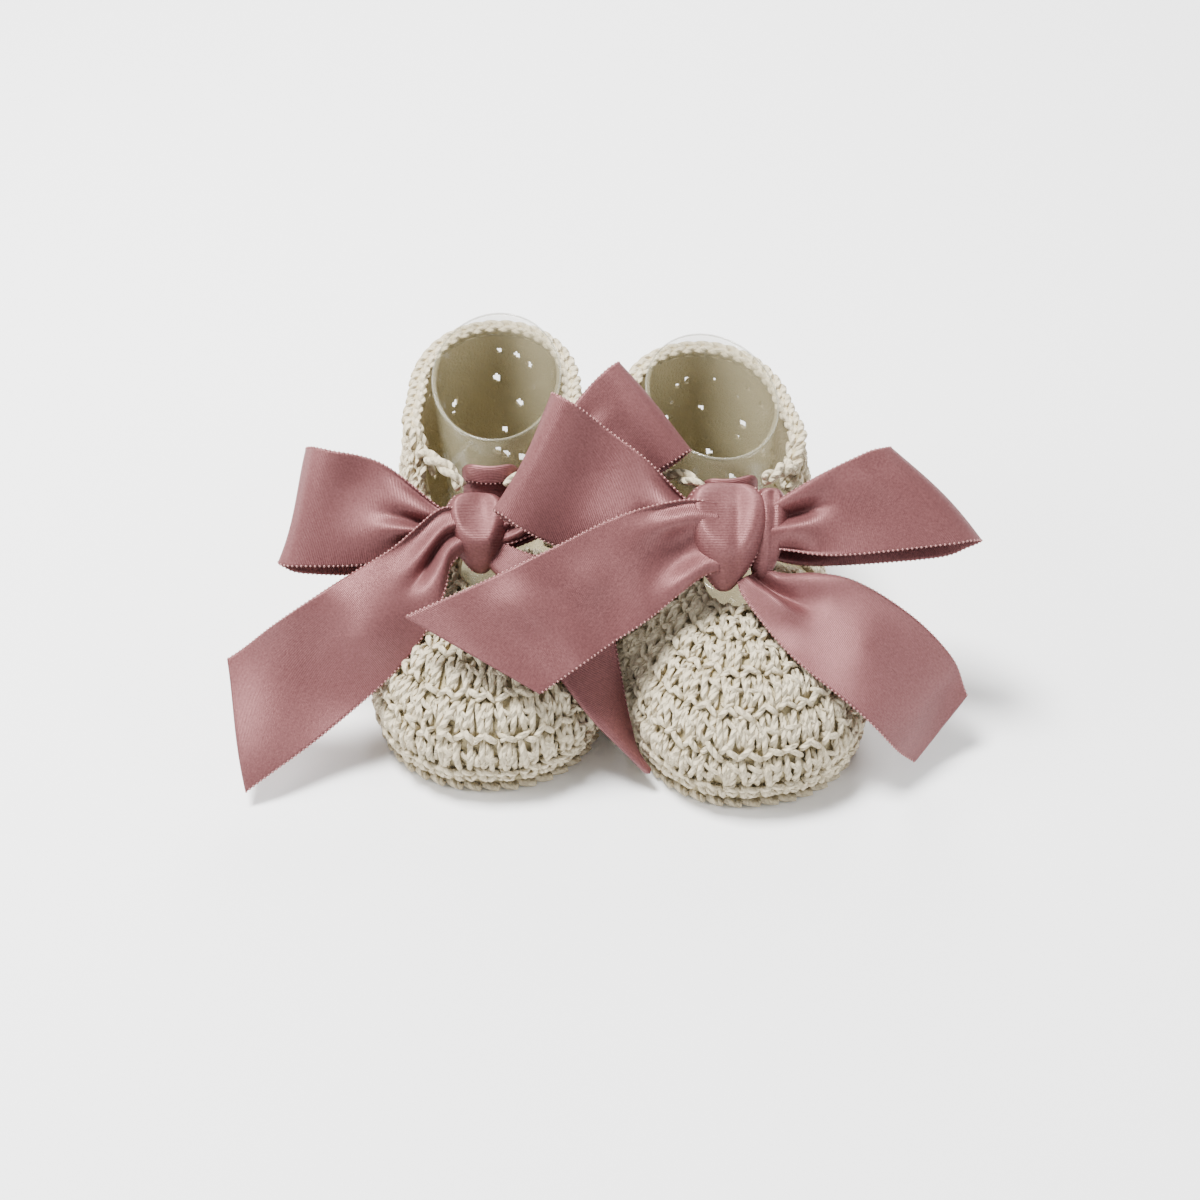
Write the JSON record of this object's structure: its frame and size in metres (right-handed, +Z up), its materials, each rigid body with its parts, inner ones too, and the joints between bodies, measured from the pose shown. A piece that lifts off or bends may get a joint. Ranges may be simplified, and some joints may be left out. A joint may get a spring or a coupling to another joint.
{
  "type": "baby bootie",
  "caption": "Pair of low crocheted baby booties on clear foot forms, each tied in front with a satin ribbon bow.",
  "frame": {"origin": "on the floor, under the middle of the box round the whole pair", "axes": "+Z up, toes towards -Y, +X to the right as seen from the toes"},
  "size_m": [0.1464, 0.0986, 0.064],
  "materials": {
    "cotton_yarn": "matte ivory cotton crochet",
    "rose_satin": "dusty rose satin ribbon with picot edges",
    "clear_plastic": "clear thin moulded plastic"
  },
  "bodies": {
    "left_bootie": {"left_sole": "cotton_yarn", "left_toe_cap": "cotton_yarn", "left_heel_quarter": "cotton_yarn", "left_collar_edging": "cotton_yarn", "left_lacing_loop_left": "cotton_yarn", "left_lacing_loop_right": "cotton_yarn", "left_ribbon_band": "rose_satin", "left_bow_knot": "rose_satin"},
    "left_form": {"left_foot_form": "clear_plastic"},
    "left_loop_left": {"left_bow_loop_left": "rose_satin"},
    "left_loop_right": {"left_bow_loop_right": "rose_satin"},
    "left_tail_left": {"left_ribbon_tail_left": "rose_satin"},
    "left_tail_right": {"left_ribbon_tail_right": "rose_satin"},
    "right_bootie": {"right_sole": "cotton_yarn", "right_toe_cap": "cotton_yarn", "right_heel_quarter": "cotton_yarn", "right_collar_edging": "cotton_yarn", "right_lacing_loop_left": "cotton_yarn", "right_lacing_loop_right": "cotton_yarn", "right_ribbon_band": "rose_satin", "right_bow_knot": "rose_satin"},
    "right_form": {"right_foot_form": "clear_plastic"},
    "right_loop_left": {"right_bow_loop_left": "rose_satin"},
    "right_loop_right": {"right_bow_loop_right": "rose_satin"},
    "right_tail_left": {"right_ribbon_tail_left": "rose_satin"},
    "right_tail_right": {"right_ribbon_tail_right": "rose_satin"}
  },
  "joints": [
    {"name": "pair_slide", "type": "slide", "parent": "left_bootie", "child": "right_bootie", "axis": [0.866, -0.5, 0], "range_m": [0, 0.1]},
    {"name": "left_form_rock", "type": "hinge", "parent": "left_bootie", "child": "left_form", "pos_m": [-0.0215, -0.03866, 0.008], "axis": [1, 0, 0], "range_deg": [0, 1.5]},
    {"name": "left_loop_left_lift", "type": "hinge", "parent": "left_bootie", "child": "left_loop_left", "pos_m": [-0.0297, -0.00702, 0.03677], "axis": [0, 0.766, -0.6428], "range_deg": [0, 20]},
    {"name": "left_loop_right_lift", "type": "hinge", "parent": "left_bootie", "child": "left_loop_right", "pos_m": [-0.0185, -0.00734, 0.03638], "axis": [0, -0.766, 0.6428], "range_deg": [0, 12]},
    {"name": "left_tail_left_swing", "type": "hinge", "parent": "left_bootie", "child": "left_tail_left", "pos_m": [-0.0295, -0.01198, 0.03832], "axis": [0, 0.766, -0.6428], "range_deg": [0, 35]},
    {"name": "left_tail_right_lift", "type": "hinge", "parent": "left_bootie", "child": "left_tail_right", "pos_m": [-0.0181, -0.01273, 0.03307], "axis": [-0.8, -0.3857, -0.4596], "range_deg": [0, 5]},
    {"name": "right_form_rock", "type": "hinge", "parent": "right_bootie", "child": "right_form", "pos_m": [0.0317, -0.04266, 0.008], "axis": [0.9877, 0.1564, 0], "range_deg": [0, 1.5]},
    {"name": "right_loop_left_lift", "type": "hinge", "parent": "right_bootie", "child": "right_loop_left", "pos_m": [0.0169, -0.01276, 0.04185], "axis": [0, 0.766, -0.6428], "range_deg": [0, 12]},
    {"name": "right_loop_right_lift", "type": "hinge", "parent": "right_bootie", "child": "right_loop_right", "pos_m": [0.0349, -0.0127, 0.04115], "axis": [0, -0.766, 0.6428], "range_deg": [0, 20]},
    {"name": "right_tail_left_lift", "type": "hinge", "parent": "right_bootie", "child": "right_tail_left", "pos_m": [0.0173, -0.01796, 0.04296], "axis": [-0.4711, 0.567, 0.6757], "range_deg": [0, 45]},
    {"name": "right_tail_right_lift", "type": "hinge", "parent": "right_bootie", "child": "right_tail_right", "pos_m": [0.0329, -0.02087, 0.03234], "axis": [-0.6222, -0.5032, -0.5997], "range_deg": [0, 15]}
  ]
}
